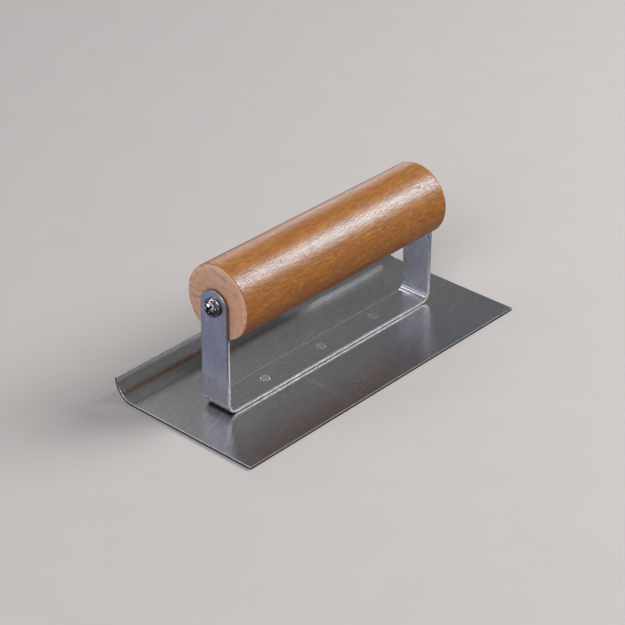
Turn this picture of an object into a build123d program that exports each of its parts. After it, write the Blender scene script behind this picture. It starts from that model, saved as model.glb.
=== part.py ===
from build123d import *

import os
from math import cos, sin, radians

# Inside step trowel: a steel blade with one long edge curled up into a cove,
# a flat strap bent to a U and riveted along the blade, and a turned wooden
# handle held between the strap's uprights by one screw at each end.
#
# Millimetres. The origin is the centre of the blade's flat underside.
# +X runs along the blade, +Y towards the curled lip, +Z up.

# Blade
blade_length = 152.4
blade_width = 69.85
blade_thickness = 1.2
cove_inner_radius = 7.6
lip_straight = 0.8

# Strap bracket
strap_width = 13.4
strap_thickness = 1.6
strap_outer_length = 116.6
strap_bend_radius = 3.2

# Wooden handle
handle_radius = 14.9
handle_axis_height = 46.7
handle_end_round = 1.2

# Screws through the uprights into the handle's end grain, a little below its axis
screw_height = 45.7
screw_radius = 2.1
screw_length = 31.75
screw_point_length = 5.0
screw_tip_radius = 0.35
screw_head_radius = 3.8
screw_head_height = 2.5
screw_head_rim = 0.7
screw_shoulder_radius = 3.2
screw_shoulder_height = 1.95
screw_crown_radius = 1.9
recess_wing_length = 4.4
recess_wing_width = 0.95
recess_depth = 1.7
recess_core_radius = 1.0

# Rivets through strap and blade, flush below and slightly proud above
rivet_count = 3
rivet_spacing = 31.3
rivet_radius = 1.7
rivet_head_radius = 2.3
rivet_head_depth = 0.6
rivet_head_stand = 0.2
rivet_head_round = 0.15

# Worked-out places
strap_base = blade_thickness
strap_top = strap_base + strap_thickness
upright_outer = strap_outer_length / 2
upright_inner = upright_outer - strap_thickness
handle_length = 2 * upright_inner


def make_blade():
    """Flat sheet with a quarter-circle cove along its +Y edge, one bent section."""
    half_width = blade_width / 2
    outer_radius = cove_inner_radius + blade_thickness
    arc_y = half_width - outer_radius
    arc_z = outer_radius
    lip_top = arc_z + lip_straight
    middle_turn = radians(45)

    def on_cove(radius):
        return (arc_y + radius * sin(middle_turn), arc_z - radius * cos(middle_turn))

    with BuildPart() as blade:
        with BuildSketch(Plane.YZ.offset(-blade_length / 2)):
            with BuildLine():
                Line((-half_width, 0), (arc_y, 0))
                ThreePointArc((arc_y, 0), on_cove(outer_radius), (half_width, arc_z))
                Line((half_width, arc_z), (half_width, lip_top))
                Line((half_width, lip_top), (half_width - blade_thickness, lip_top))
                Line((half_width - blade_thickness, lip_top), (half_width - blade_thickness, arc_z))
                ThreePointArc(
                    (half_width - blade_thickness, arc_z),
                    on_cove(cove_inner_radius),
                    (arc_y, blade_thickness),
                )
                Line((arc_y, blade_thickness), (-half_width, blade_thickness))
                Line((-half_width, blade_thickness), (-half_width, 0))
            make_face()
        extrude(amount=blade_length)
    return blade.part - make_rivet_set()


def make_bracket():
    """Flat strap bent to a U, with full-round ends centred on the screw holes."""
    end_radius = strap_width / 2
    end_top = screw_height + end_radius
    straight_height = screw_height - strap_base

    with BuildPart() as bracket:
        with BuildSketch(Plane.XZ):
            with BuildSketch() as outside:
                with Locations((0, strap_base)):
                    Rectangle(strap_outer_length, end_top - strap_base, align=(Align.CENTER, Align.MIN))
                fillet(outside.vertices().group_by(Axis.Y)[0], strap_bend_radius + strap_thickness)
            with BuildSketch(mode=Mode.SUBTRACT) as inside:
                with Locations((0, strap_top)):
                    Rectangle(2 * upright_inner, end_top - strap_top, align=(Align.CENTER, Align.MIN))
                fillet(inside.vertices().group_by(Axis.Y)[0], strap_bend_radius)
        extrude(amount=end_radius, both=True)
        with BuildSketch(Plane.YZ):
            with Locations((0, strap_base)):
                Rectangle(strap_width, straight_height, align=(Align.CENTER, Align.MIN))
            with Locations((0, screw_height)):
                Circle(end_radius)
        extrude(amount=upright_outer, both=True, mode=Mode.INTERSECT)
        with Locations((0, 0, screw_height)):
            Cylinder(screw_radius, strap_outer_length, rotation=(0, 90, 0), mode=Mode.SUBTRACT)
    return bracket.part - make_rivet_set()


def make_screw_shank():
    """Shank along +X from x = 0, with a tapered point at its far end."""
    body_length = screw_length - screw_point_length
    with BuildPart() as shank:
        with BuildSketch(Plane.XZ):
            Polygon(
                (0, 0),
                (0, screw_radius),
                (body_length, screw_radius),
                (screw_length, screw_tip_radius),
                (screw_length, 0),
                align=None,
            )
        revolve(axis=Axis.X)
    return shank.part


def make_screw():
    """Pan-head screw with a cross recess: head on the -X side of x = 0."""
    with BuildPart() as screw:
        with BuildSketch(Plane.XZ):
            with BuildLine():
                Line((0, 0), (0, screw_head_radius))
                Line((0, screw_head_radius), (-screw_head_rim, screw_head_radius))
                ThreePointArc(
                    (-screw_head_rim, screw_head_radius),
                    (-screw_shoulder_height, screw_shoulder_radius),
                    (-screw_head_height, screw_crown_radius),
                )
                Line((-screw_head_height, screw_crown_radius), (-screw_head_height, 0))
                Line((-screw_head_height, 0), (0, 0))
            make_face()
        revolve(axis=Axis.X)
        floor_x = -screw_head_height + recess_depth
        for turn in (0, 90):
            with Locations(Location((floor_x, 0, 0), (turn, 0, 0))):
                Box(
                    recess_depth,
                    recess_wing_length,
                    recess_wing_width,
                    align=(Align.MAX, Align.CENTER, Align.CENTER),
                    mode=Mode.SUBTRACT,
                )
        with Locations((floor_x, 0, 0)):
            Cylinder(
                recess_core_radius,
                recess_depth,
                rotation=(0, 90, 0),
                align=(Align.CENTER, Align.CENTER, Align.MAX),
                mode=Mode.SUBTRACT,
            )
    return screw.part + make_screw_shank()


def screw_places():
    """One screw at each upright, head outwards, turned end for end at +X."""
    return [
        Location((-upright_outer, 0, screw_height)),
        Location((upright_outer, 0, screw_height), (0, 0, 180)),
    ]


def make_handle():
    """Turned cylinder between the uprights, with eased ends and screw holes."""
    with BuildPart() as handle:
        with Locations((0, 0, handle_axis_height)):
            Cylinder(handle_radius, handle_length, rotation=(0, 90, 0))
        fillet(handle.edges().filter_by(GeomType.CIRCLE), handle_end_round)
    wood = handle.part
    for place in screw_places():
        wood = wood - place * make_screw_shank()
    return wood


def make_rivet():
    """Rivet with a tapered head that stands slightly above the strap."""
    head_top = strap_top + rivet_head_stand
    with BuildPart() as rivet:
        with BuildSketch(Plane.XZ):
            Polygon(
                (0, 0),
                (rivet_radius, 0),
                (rivet_radius, strap_top - rivet_head_depth),
                (rivet_head_radius, strap_top),
                (rivet_head_radius, head_top),
                (0, head_top),
                align=None,
            )
        revolve(axis=Axis.Z)
        rim = rivet.edges().filter_by(GeomType.CIRCLE).group_by(Axis.Z)[-1]
        fillet(rim, rivet_head_round)
    return rivet.part


def rivet_places():
    """Rivets in a row along X, evenly spaced about the middle of the blade."""
    first = -(rivet_count - 1) / 2
    return [Location(((first + i) * rivet_spacing, 0, 0)) for i in range(rivet_count)]


def make_rivet_set():
    """Every rivet where it sits, also used to cut the holes that they fill."""
    return [place * make_rivet() for place in rivet_places()]


# One file for each separate piece
nodes = {
    "blade": make_blade(),
    "handle_bracket": make_bracket(),
    "wood_handle": make_handle(),
}
for number, place in enumerate(screw_places(), start=1):
    nodes[f"handle_screw_{number}"] = place * make_screw()
for number, rivet in enumerate(make_rivet_set(), start=1):
    nodes[f"blade_rivet_{number}"] = rivet

os.makedirs("parts", exist_ok=True)
for name, solid in nodes.items():
    export_step(solid, f"parts/{name}.step")
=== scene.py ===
from math import cos, pi, radians, sin, sqrt

import bmesh
import bpy
from mathutils import Matrix, Vector


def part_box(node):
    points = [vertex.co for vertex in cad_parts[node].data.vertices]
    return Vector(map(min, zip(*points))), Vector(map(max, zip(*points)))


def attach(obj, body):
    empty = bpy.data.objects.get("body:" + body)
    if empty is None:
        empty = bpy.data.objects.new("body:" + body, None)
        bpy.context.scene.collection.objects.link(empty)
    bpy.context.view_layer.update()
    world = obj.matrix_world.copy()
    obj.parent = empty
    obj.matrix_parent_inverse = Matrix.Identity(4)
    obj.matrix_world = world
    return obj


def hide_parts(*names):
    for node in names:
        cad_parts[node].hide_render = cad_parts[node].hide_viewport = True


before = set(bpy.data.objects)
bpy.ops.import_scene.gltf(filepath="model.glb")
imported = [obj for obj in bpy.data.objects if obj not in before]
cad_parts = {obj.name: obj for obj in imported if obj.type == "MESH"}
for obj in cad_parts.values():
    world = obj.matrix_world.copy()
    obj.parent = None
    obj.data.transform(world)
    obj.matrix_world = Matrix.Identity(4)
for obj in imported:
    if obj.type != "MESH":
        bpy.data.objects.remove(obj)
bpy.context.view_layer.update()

MM = 0.001

# ---------------------------------------------------------------- sizes, from the frame or in mm

blade_lo, blade_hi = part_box("blade")
strap_lo, strap_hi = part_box("handle_bracket")
handle_lo, handle_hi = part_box("wood_handle")
head_lo, head_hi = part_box("handle_screw_1")
rivet_lo, rivet_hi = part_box("blade_rivet_1")

BLADE_THICK = strap_lo.z
COVE_RADIUS = 7.6 * MM
STRAP_THICK = strap_hi.x - handle_hi.x
STRAP_TOP = strap_lo.z + STRAP_THICK
STRAP_BEND = 3.2 * MM
STRAP_HALF = strap_hi.y
WEB_HALF = handle_hi.x - STRAP_BEND
BEND_MIDDLE = STRAP_BEND + STRAP_THICK / 2  # radius of the bend at mid-thickness
BEND_ARC = BEND_MIDDLE * pi / 2
SCREW_Z = strap_hi.z - STRAP_HALF
HANDLE_R = handle_hi.y
HANDLE_Z = (handle_lo.z + handle_hi.z) / 2
HANDLE_ROUND = 1.2 * MM
HEAD_R = head_hi.y
HEAD_HEIGHT = strap_lo.x - head_lo.x
SCREW_LENGTH = (head_hi.x - head_lo.x) - HEAD_HEIGHT
SHANK_R = 2.1 * MM
SCREW_POINT = 5 * MM
SCREW_TIP_R = 0.35 * MM
RIVET_HEAD_R = (rivet_hi.x - rivet_lo.x) / 2
RIVET_R = 1.7 * MM
RIVET_HEAD_DEPTH = 0.6 * MM
CLEARANCE = 0.03 * MM


# ---------------------------------------------------------------- mesh helpers


def new_object(name, verts, faces, materials=(), face_slots=None):
    """Mesh object from vertices and faces, with materials and a slot for each face."""
    mesh = bpy.data.meshes.new(name)
    mesh.from_pydata([tuple(v) for v in verts], [], faces)
    for m in materials:
        mesh.materials.append(m)
    if face_slots:
        mesh.polygons.foreach_set("material_index", face_slots)
    mesh.polygons.foreach_set("use_smooth", [True] * len(mesh.polygons))
    mesh.validate()
    mesh.update()
    obj = bpy.data.objects.new(name, mesh)
    bpy.context.scene.collection.objects.link(obj)
    return obj


def apply_modifiers(obj):
    """Replaces the object's mesh by the one its modifiers make."""
    graph = bpy.context.evaluated_depsgraph_get()
    mesh = bpy.data.meshes.new_from_object(obj.evaluated_get(graph), depsgraph=graph)
    obj.modifiers.clear()
    obj.data = mesh


def round_edges(obj, width, slot):
    """Rounds the sharp edges, and gives the rounded faces their own material."""
    bevel = obj.modifiers.new("edges", "BEVEL")
    bevel.width = width
    bevel.segments = 3
    bevel.limit_method = "ANGLE"
    bevel.angle_limit = radians(40)
    bevel.material = slot
    apply_modifiers(obj)


def drill(obj, cutters):
    """Cuts each cutter out of the object and deletes the cutter."""
    for cutter in cutters:
        cut = obj.modifiers.new("hole", "BOOLEAN")
        cut.operation = "DIFFERENCE"
        cut.solver = "EXACT"
        cut.object = cutter
    apply_modifiers(obj)
    for cutter in cutters:
        bpy.data.objects.remove(cutter)


def turned(name, profile, segments, place=Matrix.Identity(4), materials=(), slots=None, sink=None):
    """Solid of revolution about local X, from (x, radius) pairs that run from pole to pole.

    slots holds a material slot for each step of the profile. sink gives a shift along X."""
    verts, faces, face_slots, rings = [], [], [], []
    for x, r in profile:
        count = segments if r > 0 else 1
        ring = []
        for i in range(count):
            a = 2 * pi * i / count
            y, z = r * cos(a), r * sin(a)
            ring.append(len(verts))
            verts.append(place @ Vector((x + (sink(x, y, z) if sink else 0), y, z)))
        rings.append(ring)
    for k, (a, b) in enumerate(zip(rings, rings[1:])):
        for i in range(segments):
            j = (i + 1) % segments
            if len(a) == 1:
                face = (a[0], b[j], b[i])
            elif len(b) == 1:
                face = (a[i], a[j], b[0])
            else:
                face = (a[i], a[j], b[j], b[i])
            faces.append(face)
            face_slots.append(slots[k] if slots else 0)
    return new_object(name, verts, faces, materials, face_slots)


def arc(cx, cz, radius, start, end, steps):
    """Points (along, up) on an arc, angles in degrees from +along towards +up."""
    turns = [radians(start + (end - start) * i / steps) for i in range(steps + 1)]
    return [(cx + radius * cos(t), cz + radius * sin(t)) for t in turns]


def make_normals_agree(obj):
    """Turns every face outwards."""
    work = bmesh.new()
    work.from_mesh(obj.data)
    bmesh.ops.recalc_face_normals(work, faces=work.faces)
    work.to_mesh(obj.data)
    work.free()


def settle_normals(obj):
    """Keeps flat faces flat beside rounded edges, and keeps creases over 35 degrees sharp."""
    obj.data.set_sharp_from_angle(angle=radians(35))
    weighted = obj.modifiers.new("normals", "WEIGHTED_NORMAL")
    weighted.keep_sharp = True
    weighted.weight = 100
    apply_modifiers(obj)


def finish_piece(obj, slot, *nodes):
    """Hands the piece to the frame in place of the CAD nodes."""
    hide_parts(*nodes)
    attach(obj, "root")
    return obj


# ---------------------------------------------------------------- material helpers


class Material:
    """A small builder for one node material."""

    def __init__(self, name):
        self.data = bpy.data.materials.new(name)
        self.data.use_nodes = True
        self.tree = self.data.node_tree
        self.tree.nodes.clear()
        out = self.tree.nodes.new("ShaderNodeOutputMaterial")
        self.shader = self.tree.nodes.new("ShaderNodeBsdfPrincipled")
        self.tree.links.new(self.shader.outputs[0], out.inputs[0])
        self.place = self.tree.nodes.new("ShaderNodeTexCoord").outputs["Object"]

    def node(self, kind, inputs, out=0, **props):
        """Adds a shader node and gives one of its outputs."""
        made = self.tree.nodes.new("ShaderNode" + kind)
        for key, value in props.items():
            setattr(made, key, value)
        for key, value in inputs.items():
            self.put(made.inputs[key], value)
        return made.outputs[out]

    def put(self, socket, value):
        """Links another socket to this one, or sets a plain value on it."""
        if isinstance(value, bpy.types.NodeSocket):
            self.tree.links.new(value, socket)
        else:
            socket.default_value = value

    def set(self, **values):
        """Shader inputs, with _ for the spaces in their names."""
        for key, value in values.items():
            self.put(self.shader.inputs[key.replace("_", " ")], value)

    def stretched(self, scale, turn=(0, 0, 0), shift=(0, 0, 0)):
        """Coordinates turned (degrees about X, Y and Z), then scaled, then shifted."""
        vector = self.place
        if any(turn):
            turn = [radians(a) for a in turn]
            vector = self.node("Mapping", {"Vector": vector, "Rotation": turn})
        return self.node("Mapping", {"Vector": vector, "Scale": scale, "Location": shift})

    def axis(self, index):
        """One coordinate of the surface point: 0, 1 or 2 for X, Y or Z."""
        return self.node("SeparateXYZ", {0: self.place}, index)

    def noise_at(self, vector, detail, rough=0.55, distort=0.0):
        """Noise with one cell per unit of the vector."""
        inputs = {"Vector": vector, "Scale": 1.0, "Detail": detail, "Roughness": rough}
        inputs["Distortion"] = distort
        return self.node("TexNoise", inputs)

    def noise(self, scale, detail, rough=0.55, distort=0.0, turn=(0, 0, 0), shift=(0, 0, 0)):
        """Noise with this many cells per metre along each axis, turned first if asked."""
        return self.noise_at(self.stretched(scale, turn, shift), detail, rough, distort)

    def ramp(self, value, low, high, to_low=0.0, to_high=1.0):
        """Smooth step from to_low to to_high as the value goes from low to high."""
        inputs = {"Value": value, "From Min": low, "From Max": high, "To Min": to_low, "To Max": to_high}
        return self.node("MapRange", inputs, interpolation_type="SMOOTHSTEP")

    def window(self, value, rise, full, fade, end):
        """1 between two soft edges and 0 outside them."""
        return self.math("MULTIPLY", self.ramp(value, rise, full), self.ramp(value, fade, end, 1, 0))

    def math(self, operation, a, b=0.0):
        made = self.tree.nodes.new("ShaderNodeMath")
        made.operation = operation
        self.put(made.inputs[0], a)
        self.put(made.inputs[1], b)
        return made.outputs[0]

    def mix(self, factor, a, b, blend="MIX"):
        made = self.tree.nodes.new("ShaderNodeMix")
        made.data_type = "RGBA"
        made.blend_type = blend
        for key, value in ((0, factor), (6, a), (7, b)):
            self.put(made.inputs[key], value)
        return made.outputs[2]

    def bump(self, height, distance):
        return self.node("Bump", {"Height": height, "Distance": distance})


def grey(value, tint=(1, 1, 1)):
    """A grey tone, with its red, green and blue multiplied by the tint."""
    return (value * tint[0], value * tint[1], value * tint[2], 1)


# ---------------------------------------------------------------- materials


def scratches(m, turn, length, gap, keep, shift=0.0):
    """Thin lines at an angle from X, in degrees: 1 on a scratch and 0 elsewhere."""
    lined = m.stretched((1 / length, 1 / gap, 1 / gap), (0, 0, -turn), (shift, shift, 0))
    bent = m.noise((30, 30, 30), 1.0)
    moved = m.node("VectorMath", {0: lined, 1: bent}, operation="ADD")
    return m.ramp(m.noise_at(moved, 1.0, 0.3), keep, keep + 0.05)


def blade_steel():
    """Grey rolled sheet: fine sanding marks, smudges, a wipe, scratches and one faint rub mark.

    The foot of the cove has a painted shadow of the handle, and the front is painted slightly bluer,
    standing in for a cool reflection."""
    m = Material("blade_steel")
    along, across = m.axis(0), m.axis(1)
    sanding = m.noise((140, 2600, 2600), 3.0, 0.6, turn=(0, 0, -19))
    cross = m.noise((2200, 160, 1800), 2.0, 0.5, turn=(0, 0, 12))
    mottle = m.noise((1200, 1200, 1200), 3.0, 0.6)
    speck = m.noise((2600, 2600, 2600), 1.0, 0.5, shift=(0.4, 0, 0))
    smudge = m.noise((42, 60, 60), 5.0, 0.6, 0.6)
    blotch = m.noise((14, 22, 22), 3.0, 0.5, shift=(0.3, 0.1, 0))
    wipe = m.noise((130, 22, 22), 3.0, 0.5, 0.4, turn=(0, 0, -8), shift=(0.2, 0.5, 0))
    long_lines = scratches(m, 19, 0.03, 0.0010, 0.735)
    short_lines = scratches(m, 62, 0.014, 0.0009, 0.765, 0.31)
    lines = m.math("MAXIMUM", long_lines, short_lines)
    tone = m.mix(m.ramp(blotch, 0.3, 0.7), grey(0.51, (1, 0.975, 1)), grey(0.57, (1, 0.985, 1)))
    tone = m.mix(m.ramp(smudge, 0.5, 0.75, 0, 0.3), tone, grey(0.40, (1.03, 1, 0.98)))
    tone = m.mix(m.ramp(wipe, 0.6, 0.75, 0, 0.3), tone, grey(0.68))
    tone = m.mix(m.ramp(mottle, 0.35, 0.65, 0, 0.38), tone, grey(0.38))
    tone = m.mix(m.ramp(sanding, 0.4, 0.65, 0, 0.45), tone, grey(0.74))
    tone = m.mix(m.ramp(speck, 0.64, 0.74, 0, 0.5), tone, grey(0.85))
    tone = m.mix(m.math("MULTIPLY", lines, 0.45), tone, grey(0.85))
    off_rub = m.math("ABSOLUTE", m.math("SUBTRACT", along, -19 * MM))
    rub = m.math("MULTIPLY", m.ramp(off_rub, 0.2 * MM, 1.8 * MM, 0.4, 0), m.ramp(smudge, 0.35, 0.55))
    rub = m.math("MULTIPLY", rub, m.ramp(across, -11 * MM, -9 * MM, 1, 0))
    tone = m.mix(rub, tone, grey(0.9))
    # Painted shadow: the foot of the cove is darkened under the handle, where the handle's shadow falls.
    foot = m.window(across, 22 * MM, 27 * MM, 29 * MM, 33 * MM)
    handle_shadow_span = m.window(along, -60 * MM, -40 * MM, 4 * MM, 14 * MM)
    tone = m.mix(m.math("MULTIPLY", foot, m.math("MULTIPLY", handle_shadow_span, 0.7)), tone, grey(0.2))
    # Painted reflection: the front is tinted bluer and slightly darker, standing in for a cool reflection.
    front = m.ramp(across, -30 * MM, 0, 0.6, 0)
    tone = m.mix(front, tone, grey(0.9, (0.96, 1.01, 1.1)), "MULTIPLY")
    rough = m.ramp(smudge, 0.3, 0.75, 0.25, 0.29)
    rough = m.math("ADD", rough, m.math("MULTIPLY", mottle, 0.05))
    relief = m.math("ADD", m.math("MULTIPLY", sanding, 0.7), m.math("MULTIPLY", cross, 0.15))
    m.set(Base_Color=tone, Metallic=1.0, Roughness=rough, Normal=m.bump(relief, 0.003 * MM))
    return m.data


def cut_edge_shade_steel():
    """The sheared edge of the sheet: dull and torn across its thickness, and painted dark, standing in for
    the shade and dark reflection along it.
    """
    m = Material("cut_edge_shade_steel")
    torn = m.noise((900, 900, 5000), 3.0)
    # Painted shade: the edge's tone is kept dark.
    tone = m.mix(m.ramp(torn, 0.35, 0.7), grey(0.13, (0.95, 0.95, 1.12)), grey(0.22))
    m.set(Base_Color=tone, Metallic=1.0, Roughness=m.ramp(torn, 0.2, 0.8, 0.42, 0.6))
    m.set(Normal=m.bump(torn, 0.02 * MM))
    return m.data


def worn_edge_steel(name, bright, dull, wear, rough, painted_shade=False):
    """Edge worn bright, with duller gaps. The last flag adds painted shade: dark brown beside the wood,
    standing in for the shaded wood that the edge reflects.
    """
    m = Material(name)
    nick = m.noise((700, 700, 700), 4.0, 0.6)
    tone = m.mix(m.ramp(nick, wear - 0.1, wear + 0.1), grey(dull), grey(bright))
    if painted_shade:
        # Painted shade: dark brown beside the wood, where the edge reflects the wood's shade.
        beside_wood = m.ramp(m.axis(2), HANDLE_Z - 15 * MM, HANDLE_Z - 12 * MM, 0, 0.85)
        tone = m.mix(beside_wood, tone, (0.17, 0.075, 0.04, 1))
    polish = m.ramp(nick, 0.3, 0.7, rough + 0.05, rough - 0.05)
    m.set(Base_Color=tone, Metallic=1.0, Roughness=polish, Normal=m.bump(nick, 0.006 * MM))
    return m.data


def strap_steel():
    """Strip steel brushed along the strap and calmer in the bends, with a painted blue reflection on the
    uprights.

    Painted shade darkens the uprights towards the bends, a painted contact shadow darkens the
    strip where it lies on the blade, and a painted highlight makes the web's far edge pale."""
    m = Material("strap_steel")
    along, across, height = m.axis(0), m.axis(1), m.axis(2)
    facing = m.node("SeparateXYZ", {0: m.node("NewGeometry", {}, 1)}, 2)
    level = m.math("ABSOLUTE", facing)
    on_web = m.ramp(level, 0.5, 0.9)
    from_bend = m.math("ABSOLUTE", m.math("SUBTRACT", level, 0.5))
    flat = m.ramp(from_bend, 0.35, 0.49, 0.25, 1)
    brush_web = m.noise((140, 2600, 2600), 3.0, 0.6)
    brush_up = m.noise((2600, 2600, 220), 3.0, 0.6)
    brush = m.mix(on_web, brush_up, brush_web)
    mottle = m.noise((1500, 1500, 900), 3.0, 0.6)
    smudge = m.noise((70, 90, 90), 4.0, 0.6, 0.4)
    smudged = m.ramp(smudge, 0.3, 0.75)
    # Painted highlight: the web's far edge is made pale.
    far_edge_highlight = m.math("MULTIPLY", m.ramp(across, STRAP_HALF - 0.9 * MM, STRAP_HALF - 0.7 * MM), on_web)
    # Painted reflection: the uprights are tinted blue and kept darker than the web.
    tint = (0.93, 0.96, 1.14)
    upright = m.mix(smudged, grey(0.64, tint), grey(0.56, tint))
    # Painted shade: the uprights darken towards the bends.
    upright = m.mix(m.ramp(height, 5 * MM, 35 * MM, 0.7, 0), upright, grey(0.4, tint))
    # Painted reflection: the far upright turns bluer higher up.
    bluer = m.math("MULTIPLY", m.ramp(along, 0, 20 * MM, 0, 0.8), m.ramp(height, 14 * MM, 32 * MM))
    upright = m.mix(bluer, upright, grey(0.72, (0.9, 1.02, 1.3)))
    tone = m.mix(on_web, upright, m.mix(smudged, grey(0.69), grey(0.61)))
    # Painted contact shadow: the strip is near black low down, where it lies on the blade.
    blade_contact_shadow = m.ramp(height, STRAP_TOP - 0.7 * MM, STRAP_TOP - 0.1 * MM, 0.9, 0)
    tone = m.mix(blade_contact_shadow, tone, grey(0.08))
    brushed = m.math("MULTIPLY", m.ramp(brush, 0.4, 0.65, 0, 0.4), flat)
    mottled = m.math("MULTIPLY", m.ramp(mottle, 0.35, 0.65, 0, 0.35), flat)
    tone = m.mix(brushed, tone, grey(0.34, (0.97, 0.97, 1.08)))
    tone = m.mix(mottled, tone, grey(0.38, (0.97, 0.97, 1.1)))
    tone = m.mix(m.math("MULTIPLY", far_edge_highlight, 0.8), tone, grey(0.95))
    rough = m.ramp(smudge, 0.25, 0.75, 0.25, 0.31)
    relief = m.math("MULTIPLY", brush, flat)
    m.set(Base_Color=tone, Metallic=1.0, Roughness=rough, Normal=m.bump(relief, 0.004 * MM))
    return m.data


def late_wood(m):
    """The dark lines of nearly level growth rings, round a pith that lies below the tool."""
    pith_y, pith_z, ring_width = 12 * MM, -90 * MM, 3.4 * MM
    wander = m.noise((16, 60, 60), 3.0, 0.5)
    moved = m.math("MULTIPLY", m.math("SUBTRACT", wander, 0.5), 5 * MM)
    across = m.math("SUBTRACT", m.axis(1), pith_y)
    up = m.math("SUBTRACT", m.axis(2), pith_z)
    squares = m.math("ADD", m.math("MULTIPLY", across, across), m.math("MULTIPLY", up, up))
    distance = m.math("ADD", m.math("SQRT", squares), moved)
    ring = m.math("FRACT", m.math("DIVIDE", distance, ring_width))
    return m.math("MULTIPLY", m.ramp(ring, 0.6, 0.96), m.ramp(ring, 1.0, 0.96))


def wood_blotch(m):
    """Slow changes of tone, longer along the grain."""
    return m.noise((50, 130, 130), 3.0, 0.6, 0.8, shift=(0.7, 0.2, 0))


def varnished_wood():
    """Orange-brown hardwood under a satin varnish that follows the grain."""
    m = Material("varnished_wood")
    late, blotch = late_wood(m), wood_blotch(m)
    streak = m.noise((260, 900, 900), 3.0, 0.6, 0.8)
    pores = m.ramp(m.noise((520, 4200, 4200), 1.0, 0.4), 0.64, 0.74)
    fleck = m.noise((900, 1300, 1300), 3.0, 0.65)
    tone = m.mix(m.ramp(streak, 0.3, 0.7), (0.28, 0.074, 0.0048, 1), (0.45, 0.163, 0.019, 1))
    tone = m.mix(m.math("MULTIPLY", late, 0.2), tone, (0.19, 0.05, 0.005, 1))
    tone = m.mix(m.ramp(blotch, 0.35, 0.7, 0, 0.5), tone, (0.28, 0.074, 0.005, 1))
    tone = m.mix(m.ramp(fleck, 0.42, 0.72, 0, 0.45), tone, (0.18, 0.048, 0.004, 1))
    tone = m.mix(m.math("MULTIPLY", pores, 0.3), tone, (0.1, 0.025, 0.002, 1))
    dip = m.math("SUBTRACT", m.math("MULTIPLY", fleck, 1.4), m.math("MULTIPLY", pores, 0.4))
    grain = m.bump(dip, 0.115 * MM)
    m.set(Base_Color=tone, Roughness=m.ramp(fleck, 0.3, 0.7, 0.38, 0.46), Specular_IOR_Level=0.42)
    m.set(Coat_Weight=0.5, Coat_Roughness=0.23, Coat_IOR=1.5, Normal=grain, Coat_Normal=grain)
    return m.data


def end_grain(name, lift=0.0):
    """Paler, bare end grain: faint ring lines, saw marks and pores. lift makes it paler in places."""
    m = Material(name)
    late, blotch = late_wood(m), wood_blotch(m)
    dots = m.noise((300, 2400, 2400), 2.0, 0.5)
    saw = m.noise((200, 350, 3200), 2.0, 0.6, turn=(38, 0, 0))
    counter = m.noise((200, 3000, 420), 2.0, 0.6, turn=(20, 0, 0))
    broken = m.noise((60, 160, 260), 2.0, 0.5, shift=(0.1, 0.4, 0))
    tone = m.mix(m.ramp(blotch, 0.3, 0.7), (0.66, 0.41, 0.31, 1), (0.58, 0.335, 0.245, 1))
    warm = m.noise((30, 85, 85), 3.0, 0.55, shift=(0.3, 0.8, 0.15))
    tone = m.mix(m.ramp(warm, 0.42, 0.62, 0, 0.45), tone, (0.69, 0.35, 0.18, 1))
    lines = m.math("MULTIPLY", late, m.ramp(broken, 0.45, 0.7, 0.0, 0.7))
    tone = m.mix(lines, tone, (0.22, 0.12, 0.10, 1))
    tone = m.mix(m.ramp(saw, 0.45, 0.7, 0, 0.35), tone, (0.33, 0.19, 0.15, 1))
    tone = m.mix(m.ramp(counter, 0.5, 0.7, 0, 0.3), tone, (0.68, 0.45, 0.36, 1))
    tone = m.mix(m.ramp(dots, 0.52, 0.72, 0, 0.5), tone, (0.27, 0.14, 0.10, 1))
    if lift:
        worn = m.noise((400, 400, 400), 3.0, 0.6)
        tone = m.mix(m.ramp(worn, 0.4, 0.6, 0, lift), tone, (0.86, 0.76, 0.70, 1))
    relief = m.math("SUBTRACT", m.math("MULTIPLY", late, 0.3), dots)
    relief = m.math("SUBTRACT", relief, m.math("MULTIPLY", saw, 0.5))
    m.set(Base_Color=tone, Roughness=0.55, Specular_IOR_Level=0.3, Normal=m.bump(relief, 0.06 * MM))
    return m.data


def screw_chrome(name, tone, rough):
    """Dark bright-plated steel with fine handling marks. In a near-black tone it is the painted shade
    inside a screw's recess.
    """
    m = Material(name)
    mark = m.noise((900, 900, 900), 4.0, 0.6)
    shade = m.mix(m.ramp(mark, 0.5, 0.8), grey(tone, (0.98, 0.99, 1.06)), grey(tone * 0.7))
    m.set(Base_Color=shade, Metallic=1.0, Roughness=m.ramp(mark, 0.3, 0.8, rough, rough + 0.08))
    m.set(Normal=m.bump(mark, 0.01 * MM))
    return m.data


def rivet_steel(name, tone, rough):
    """Close to the tone of the strap's web, and lightly pitted."""
    m = Material(name)
    pit = m.noise((1600, 1600, 1600), 4.0, 0.6)
    shade = m.mix(m.ramp(pit, 0.4, 0.75), grey(tone), grey(tone * 0.8))
    m.set(Base_Color=shade, Metallic=1.0, Roughness=m.ramp(pit, 0.3, 0.7, rough, rough + 0.08))
    m.set(Normal=m.bump(pit, 0.006 * MM))
    return m.data


# ---------------------------------------------------------------- pieces


def rivet_centres():
    """Each rivet's CAD name and its place along the blade."""
    for name in ("blade_rivet_1", "blade_rivet_2", "blade_rivet_3"):
        lo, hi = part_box(name)
        yield name, (lo.x + hi.x) / 2


def upright_cylinder(radius, x, low, high):
    """Plain vertical cutter for a rivet hole."""
    place = Matrix.Translation((x, 0, 0)) @ Matrix.Rotation(-pi / 2, 4, "Y")
    return turned("cutter", [(low, 0), (low, radius), (high, radius), (high, 0)], 64, place)


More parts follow.
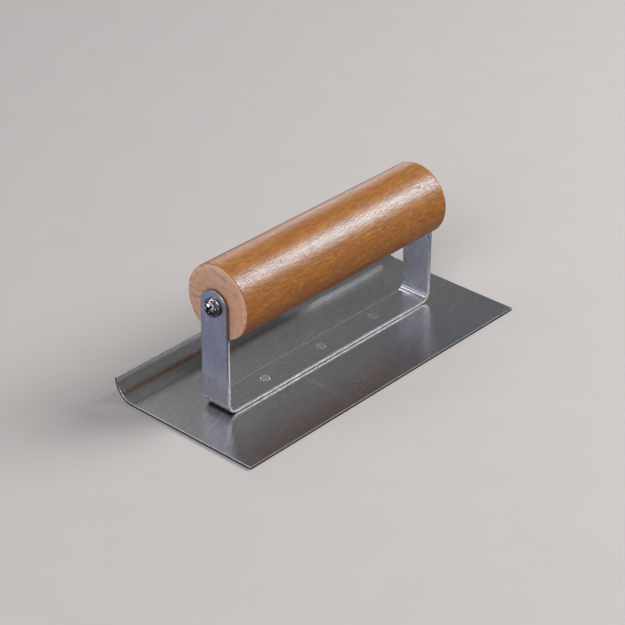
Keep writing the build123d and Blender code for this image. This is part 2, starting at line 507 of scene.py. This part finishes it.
def make_blade(surface, edge, corner):
    """Constant-thickness section swept along X, its inner and outer lines in pairs."""
    edge_round = 0.2 * MM
    half = blade_hi.y
    outer = COVE_RADIUS + BLADE_THICK
    arc_y, arc_z = half - outer, outer
    steps = 32
    inner_line = [(-half, BLADE_THICK)] + arc(arc_y, arc_z, COVE_RADIUS, -90, 0, steps)
    outer_line = [(-half, 0)] + arc(arc_y, arc_z, outer, -90, 0, steps)
    inner_line.append((half - BLADE_THICK, blade_hi.z))
    outer_line.append((half, blade_hi.z))
    count = len(inner_line)
    verts, faces, slots = [], [], []
    for x in (blade_lo.x, blade_hi.x):
        verts += [(x, y, z) for y, z in inner_line]
        verts += [(x, y, z) for y, z in outer_line]
    near, far = 0, 2 * count
    for i in range(count - 1):
        faces.append((near + i, near + i + 1, far + i + 1, far + i))
        faces.append((near + count + i, far + count + i, far + count + i + 1, near + count + i + 1))
        faces.append((near + i, near + count + i, near + count + i + 1, near + i + 1))
        faces.append((far + i, far + i + 1, far + count + i + 1, far + count + i))
        slots += [0, 0, 1, 1]
    last = count - 1
    faces.append((near, far, far + count, near + count))
    faces.append((near + last, near + count + last, far + count + last, far + last))
    slots += [1, 2]
    blade = new_object("blade_sheet", verts, faces, (surface, edge, corner), slots)
    round_edges(blade, edge_round, 2)
    drill(blade, [upright_cylinder(RIVET_R, x, -MM, BLADE_THICK + MM) for _, x in rivet_centres()])
    settle_normals(blade)
    return finish_piece(blade, "blade_steel", "blade")


def strap_point(u, y, h):
    """Place of a point of the flat strip once it is bent: u along it, y across, h above mid-thickness."""
    side = 1 if u > 0 else -1
    run = abs(u)
    radius = BEND_MIDDLE - h
    if run <= WEB_HALF:
        return Vector((u, y, STRAP_TOP - STRAP_THICK / 2 + h))
    centre = Vector((side * WEB_HALF, y, STRAP_TOP + STRAP_BEND))
    if run <= WEB_HALF + BEND_ARC:
        turn = (run - WEB_HALF) / BEND_MIDDLE
        return centre + Vector((side * sin(turn), 0, -cos(turn))) * radius
    return centre + Vector((side * radius, 0, run - WEB_HALF - BEND_ARC))


def strap_stations():
    """Stations along half of the strip: distance from the middle, and turn round the end's arc."""
    web_steps, bend_steps, upright_steps, arc_step = 16, 16, 12, 4
    straight = SCREW_Z - (STRAP_TOP + STRAP_BEND)
    end = WEB_HALF + BEND_ARC + straight
    stations = [(WEB_HALF * i / web_steps, 0) for i in range(1, web_steps + 1)]
    stations += [(WEB_HALF + BEND_ARC * i / bend_steps, 0) for i in range(1, bend_steps + 1)]
    upright = [WEB_HALF + BEND_ARC + straight * i / upright_steps for i in range(1, upright_steps + 1)]
    stations += [(u, 0) for u in upright]
    stations += [(end, radians(a)) for a in range(arc_step, 90 - arc_step + 1, arc_step)]
    return end, stations


def make_strap(surface, edge, corner):
    """Flat strip with full-round ends and rounded edges, bent to a U.

    Each loop runs round the strip's outline at one height, and is pulled in near the two faces
    to round the edge. Quads from side to side close the faces, with a triangle at each tip."""
    rounding, steps = 0.36 * MM, 6
    half_thick = STRAP_THICK / 2
    end, stations = strap_stations()
    turns = [pi / 2 * k / steps for k in range(steps + 1)]
    rim = [(half_thick - rounding + rounding * cos(t), rounding * (1 - sin(t))) for t in turns]
    levels = rim + [(-h, inset) for h, inset in reversed(rim)]
    verts, faces, slots = [], [], []
    per_side = 2 * len(stations) + 1

    def outline(inset):
        width = STRAP_HALF - inset
        right = [(u + width * sin(t), width * cos(t)) for u, t in stations]
        return [(-u, y) for u, y in reversed(right)] + [(0, width)] + right

    for h, inset in levels:
        row = outline(inset)
        tip = end + STRAP_HALF - inset
        verts += [strap_point(u, y, h) for u, y in row]
        verts.append(strap_point(tip, 0, h))
        verts += [strap_point(u, -y, h) for u, y in reversed(row)]
        verts.append(strap_point(-tip, 0, h))
    count = 2 * per_side + 2
    for k in range(len(levels) - 1):
        for i in range(count):
            j = (i + 1) % count
            faces.append((k * count + i, k * count + j, (k + 1) * count + j, (k + 1) * count + i))
            slots.append(1 if k == steps else 2)
    for base in (0, (len(levels) - 1) * count):
        for i in range(per_side - 1):
            across = 2 * per_side - i
            faces.append((base + i, base + i + 1, base + across - 1, base + across))
        faces.append((base + per_side - 1, base + per_side, base + per_side + 1))
        faces.append((base, base + 2 * per_side, base + count - 1))
        slots += [0] * (per_side + 1)
    strap = new_object("strap_bracket", verts, faces, (surface, edge, corner), slots)
    make_normals_agree(strap)
    head_floor = STRAP_TOP - RIVET_HEAD_DEPTH
    holes = []
    for _, x in rivet_centres():
        holes.append(upright_cylinder(RIVET_HEAD_R, x, head_floor, STRAP_TOP + MM))
        holes.append(upright_cylinder(RIVET_R, x, 0, STRAP_TOP))
    through = Matrix.Translation((0, 0, SCREW_Z))
    reach = strap_hi.x + MM
    bore = [(-reach, 0), (-reach, SHANK_R), (reach, SHANK_R), (reach, 0)]
    holes.append(turned("cutter", bore, 64, through))
    drill(strap, holes)
    settle_normals(strap)
    return finish_piece(strap, "strap_steel", "handle_bracket")


def shank_profile(radius):
    """Screw shank along +X from x = 0 to its tapered point."""
    return [(SCREW_LENGTH - SCREW_POINT, radius), (SCREW_LENGTH, SCREW_TIP_R), (SCREW_LENGTH, 0)]


def screw_places():
    """Each screw's CAD name, its seat on the strap, and the turn of its recess in degrees."""
    near = Matrix.Translation((strap_lo.x, 0, SCREW_Z))
    far = Matrix.Translation((strap_hi.x, 0, SCREW_Z)) @ Matrix.Rotation(pi, 4, "Z")
    return [("handle_screw_1", near, 38), ("handle_screw_2", far, 65)]


def make_handle(varnish, bare, worn):
    """Turned handle with eased, bare ends and a worn rim round each end face.

    The varnish stops part of the way round the easing, and each end is drilled for a screw."""
    varnished_steps, ease_steps, face_steps, side_steps = 3, 8, 6, 48
    half = handle_hi.x
    worn_rim = 0.12 * MM
    ease = arc(half - HANDLE_ROUND, HANDLE_R - HANDLE_ROUND, HANDLE_ROUND, 90, 12, ease_steps)
    face_r = HANDLE_R - HANDLE_ROUND - worn_rim
    face = [(half, face_r * k / face_steps) for k in range(face_steps, -1, -1)]
    right = ease + face
    left = [(-x, r) for x, r in reversed(right)]
    straight = 2 * (half - HANDLE_ROUND)
    side = [(-straight / 2 + straight * i / side_steps, HANDLE_R) for i in range(1, side_steps)]
    end_slots = [0] * varnished_steps + [1] * (ease_steps - varnished_steps) + [2] + [1] * face_steps
    slots = end_slots[::-1] + [0] * side_steps + end_slots
    place = Matrix.Translation((0, 0, HANDLE_Z))
    handle = turned("turned_handle", left + side + right, 144, place, (varnish, bare, worn), slots)
    bore = [(0, 0), (0, SHANK_R)] + shank_profile(SHANK_R)
    drill(handle, [turned("cutter", bore, 48, spot) for _, spot, _ in screw_places()])
    settle_normals(handle)
    return finish_piece(handle, "varnished_wood", "wood_handle")


def smooth_step(value, low, high):
    """0 at low and 1 at high, with no kink at either."""
    t = min(max((value - low) / (high - low), 0), 1)
    return t * t * (3 - 2 * t)


def cross_recess(turn):
    """Depth of a tapered cross recess at a point on the screw head's face.

    reach is the length of a wing, wing its half-width and core the half-size of the middle."""
    reach, wing, core = 2.2 * MM, 0.42 * MM, 1.15 * MM
    deepest, soft, draft = 1.7 * MM, 0.13 * MM, 0.62
    a = radians(turn)

    def depth(y, z):
        p = abs(y * cos(a) + z * sin(a))
        q = abs(z * cos(a) - y * sin(a))
        run, off = max(p, q), min(p, q)
        taper = 1 - draft * run / reach
        in_wing = smooth_step(off, wing + soft, wing - soft) * smooth_step(run, reach + soft, reach - soft)
        in_core = smooth_step(p + q, core + 2 * soft, core)
        return deepest * max(in_wing * taper, in_core * max(taper, 0))

    return depth


def make_screw(name, place, turn, finish, painted_shade):
    """Pan head with a cross recess, seated on the strap, and its shank in the wood."""
    rim, shoulder, dark_depth = 0.7 * MM, 0.22 * MM, 0.12 * MM
    rings, squareness = 72, 2.6
    recess = cross_recess(turn)
    shank_r = SHANK_R - CLEARANCE

    def crown(r):
        """Point of the crown's section at radius r, its height above the strap along -X."""
        t = min(r / HEAD_R, 1)
        return -rim - (HEAD_HEIGHT - rim) * sqrt(max(1 - t ** squareness, 0)), r

    def sink(x, y, z):
        return recess(y, z) if x < 0 else 0

    profile = [crown(HEAD_R * sin(pi / 2 * k / rings)) for k in range(rings + 1)]
    profile += [(-shoulder, HEAD_R), (-shoulder * 0.3, HEAD_R - shoulder * 0.3), (0, HEAD_R - shoulder)]
    profile += [(0, shank_r)] + shank_profile(shank_r)
    screw = turned("pan_screw_" + name[-1], profile, 192, place, (finish, painted_shade), sink=sink)
    # Painted shade: faces deep in the recess take the second, near-black material.
    to_head = place.inverted()
    for face in screw.data.polygons:
        y, z = (to_head @ face.center).yz
        face.material_index = 1 if recess(y, z) > dark_depth else 0
    make_normals_agree(screw)
    settle_normals(screw)
    return finish_piece(screw, "screw_steel", name)


def make_rivet(name, x, finish, polish):
    """Nearly flush head with a low polished ring, stepped into the strap, and a flush tail."""
    ring_r, ring_half, ring_height = 1.75 * MM, 0.26 * MM, 0.027 * MM
    ring_steps = 24
    seat = STRAP_TOP - RIVET_HEAD_DEPTH
    level = STRAP_TOP + 0.02 * MM
    head_r = RIVET_HEAD_R - CLEARANCE
    tail_r = RIVET_R - CLEARANCE
    profile = [(0, 0), (0, tail_r), (seat, tail_r), (seat, head_r), (level, head_r)]
    profile.append((level, ring_r + ring_half))
    for k in range(1, ring_steps):
        t = 2 * k / ring_steps - 1
        profile.append((level + ring_height * (1 + cos(pi * t)) / 2, ring_r - ring_half * t))
    profile += [(level, ring_r - ring_half), (level, 0)]
    slots = [0] * (len(profile) - 2 - ring_steps) + [1] * ring_steps + [0]
    place = Matrix.Translation((x, 0, 0)) @ Matrix.Rotation(-pi / 2, 4, "Y")
    rivet = turned("low_rivet_" + name[-1], profile, 64, place, (finish, polish), slots)
    make_normals_agree(rivet)
    settle_normals(rivet)
    return finish_piece(rivet, "rivet_steel", name)


# ---------------------------------------------------------------- stage


def make_floor():
    """Plain pale floor that isn't mirrored in the steel."""
    m = Material("pale_floor")
    fleck = m.noise((60, 60, 60), 3.0)
    warm = (1.05, 1, 0.985)
    m.set(Base_Color=m.mix(fleck, grey(0.49, warm), grey(0.52, warm)))
    m.set(Roughness=0.85, Specular_IOR_Level=0.2)
    size = 6.0
    corners = [(-size, -size, 0), (size, -size, 0), (size, size, 0), (-size, size, 0)]
    floor = new_object("floor", corners, [(0, 1, 2, 3)], (m.data,))
    floor.visible_glossy = False
    return floor


def direction(azimuth, elevation):
    """Unit vector, from degrees round Z from +X and degrees above the floor."""
    a, e = radians(azimuth), radians(elevation)
    return Vector((cos(a) * cos(e), sin(a) * cos(e), sin(e)))


def make_light(name, azimuth, elevation, distance, size, power, colour, skips=(), only=()):
    """Soft disk aimed at the middle of the tool. It skips some pieces, or lights only some."""
    middle = Vector((0, 0, HANDLE_Z / 2))
    lamp = bpy.data.lights.new(name, "AREA")
    lamp.shape = "DISK"
    lamp.size = size
    lamp.energy = power
    lamp.color = colour
    obj = bpy.data.objects.new(name, lamp)
    way = direction(azimuth, elevation)
    obj.location = middle + way * distance
    obj.rotation_mode = "QUATERNION"
    obj.rotation_quaternion = way.to_track_quat("Z", "Y")
    obj.visible_camera = False
    bpy.context.scene.collection.objects.link(obj)
    if skips or only:
        receivers = bpy.data.collections.new(name + "_receivers")
        for piece in skips or only:
            receivers.objects.link(piece)
        for linked in receivers.collection_objects:
            linked.light_linking.link_state = "EXCLUDE" if skips else "INCLUDE"
        obj.light_linking.receiver_collection = receivers
        # A lamp below the floor is shaded only by the pieces that it lights.
        if elevation < 0:
            obj.light_linking.blocker_collection = receivers


def make_world(above, left, right):
    """Even studio walls. Only gloss sees the lower half: a bluish band to the left between dark ones."""
    world = bpy.data.worlds.new("studio")
    world.use_nodes = True
    tree = world.node_tree
    place = tree.nodes.new("ShaderNodeTexCoord")
    parts = tree.nodes.new("ShaderNodeSeparateXYZ")
    tree.links.new(place.outputs["Generated"], parts.inputs[0])

    def blend(along, start, end, low, high):
        """Goes from low to high as the way along an axis goes from start to end."""
        level = tree.nodes.new("ShaderNodeMapRange")
        level.inputs["From Min"].default_value = start
        level.inputs["From Max"].default_value = end
        tree.links.new(parts.outputs[along], level.inputs["Value"])
        shade = tree.nodes.new("ShaderNodeMix")
        shade.data_type = "RGBA"
        tree.links.new(level.outputs[0], shade.inputs[0])
        for socket, value in ((shade.inputs[6], low), (shade.inputs[7], high)):
            if isinstance(value, bpy.types.NodeSocket):
                tree.links.new(value, socket)
            else:
                socket.default_value = value
        return shade.outputs[2]

    band = blend("Z", -0.62, -0.50, grey(0.04), grey(left, (0.93, 0.96, 1.18)))
    band = blend("Z", -0.24, -0.14, band, grey(0.05))
    band = blend("Y", 0.05, 0.3, grey(0.06), band)
    below = blend("X", -0.3, 0.3, band, grey(right, (1.0, 0.97, 1.0)))
    shade = blend("Z", -0.06, 0.04, below, grey(above, (0.96, 0.97, 1.0)))
    tree.links.new(shade, tree.nodes["Background"].inputs["Color"])
    bpy.context.scene.world = world


def make_camera():
    """Three-quarter view from the near end, looking down on the blade."""
    heading, tilt, roll = 42.06, -30.54, 0.288
    distance = 0.8218
    aim = Vector((20.55 * MM, 23.06 * MM, 0))
    ahead = direction(heading, tilt)
    right = ahead.cross(Vector((0, 0, 1))).normalized()
    up = right.cross(ahead)
    a = radians(roll)
    side = right * cos(a) + up * sin(a)
    top = side.cross(ahead)
    lens = bpy.data.cameras.new("camera")
    lens.sensor_width = 36
    lens.lens = 117.75
    lens.clip_start = 0.01
    camera = bpy.data.objects.new("camera", lens)
    turn = Matrix((side, top, -ahead)).transposed().to_4x4()
    camera.matrix_world = Matrix.Translation(aim - ahead * distance) @ turn
    bpy.context.scene.collection.objects.link(camera)
    bpy.context.scene.camera = camera


# ---------------------------------------------------------------- build

bpy.context.scene.view_settings.view_transform = "Standard"
make_camera()

blade_corner = worn_edge_steel("blade_corner_steel", 0.9, 0.8, 0.45, 0.42)
strap_edge = worn_edge_steel("strap_edge_steel", 0.95, 0.85, 0.5, 0.34, painted_shade=True)
strap_corner = worn_edge_steel("strap_corner_steel", 0.52, 0.46, 0.42, 0.34)
blade = make_blade(blade_steel(), cut_edge_shade_steel(), blade_corner)
strap = make_strap(strap_steel(), strap_edge, strap_corner)
make_handle(varnished_wood(), end_grain("end_grain"), end_grain("worn_wood_rim", 0.35))
chrome = screw_chrome("screw_chrome", 0.42, 0.07)
# Painted shade: the recess gets a near-black copy of the chrome.
recess_shade_chrome = screw_chrome("screw_recess_chrome", 0.06, 0.25)
screws = [make_screw(*place, chrome, recess_shade_chrome) for place in screw_places()]
rivet_face = rivet_steel("rivet_steel", 0.55, 0.3)
# Painted light: the ring is lighter than the face, which offsets the shade on its sloped sides.
rivet_ring = rivet_steel("rivet_ring_steel", 0.85, 0.14)
rivets = [make_rivet(name, x, rivet_face, rivet_ring) for name, x in rivet_centres()]
steel = [blade, strap] + rivets

floor = make_floor()
make_world(0.185, 0.45, 0.2)

# Azimuth and elevation in degrees, distance and size in metres, power in watts, then the colour.
make_light("wood_key", -33, 40.5, 1.3, 0.38, 16.6, (0.63, 0.87, 1.0), skips=steel + [floor])
make_light("floor_key", -36, 38, 1.3, 0.8, 16, (1.0, 0.985, 0.975), only=[floor])
make_light("wood_top", 92, 70, 1.4, 1.0, 4.8, (1.0, 0.98, 0.97), skips=steel + [floor])
make_light("wood_low", -80, 3, 1.4, 0.8, 1.6, (1.0, 0.97, 1.0), skips=steel + [floor])
make_light("edge_light", -41, 33, 1.3, 0.3, 1.3, (0.95, 0.96, 1.0))
make_light("left_back", 143, 16, 1.4, 0.3, 0.7, (0.88, 0.92, 1.0))
make_light("top_left", 130, 43, 1.4, 0.4, 1.05, (1.0, 0.99, 0.96))
make_light("overhead", 68, 52, 1.4, 0.4, 1.0, (1.0, 1.0, 1.0))
make_light("front_fill", 205, 36, 1.5, 0.8, 10, (1.0, 0.98, 0.97), skips=screws)
make_light("wood_rim", 48, 9, 1.4, 0.4, 0.9, (0.85, 0.92, 1.0), skips=steel)
make_light("lip_light", 48, 10, 1.4, 0.4, 0.4, (1.0, 0.96, 0.96))
make_light("blade_sheen", 57, 33, 1.4, 0.26, 0.1, (1.0, 1.0, 1.0), only=[blade])
make_light("strap_rim", 166, 47, 1.4, 0.7, 1.2, (1.0, 0.98, 0.98), only=[strap])
make_light("screw_above", 163, 4, 1.4, 1.2, 2.6, (0.97, 0.98, 1.0), only=screws)
make_light("screw_left", 140, -14, 1.4, 0.4, 1.4, (0.97, 0.98, 1.0), only=screws)
make_light("screw_right", 200, -10, 1.4, 0.3, 0.4, (0.97, 0.98, 1.0), only=screws)
make_light("rivet_glint", 59, 27, 1.4, 0.2, 1.2, (1.0, 0.98, 0.98), only=rivets)
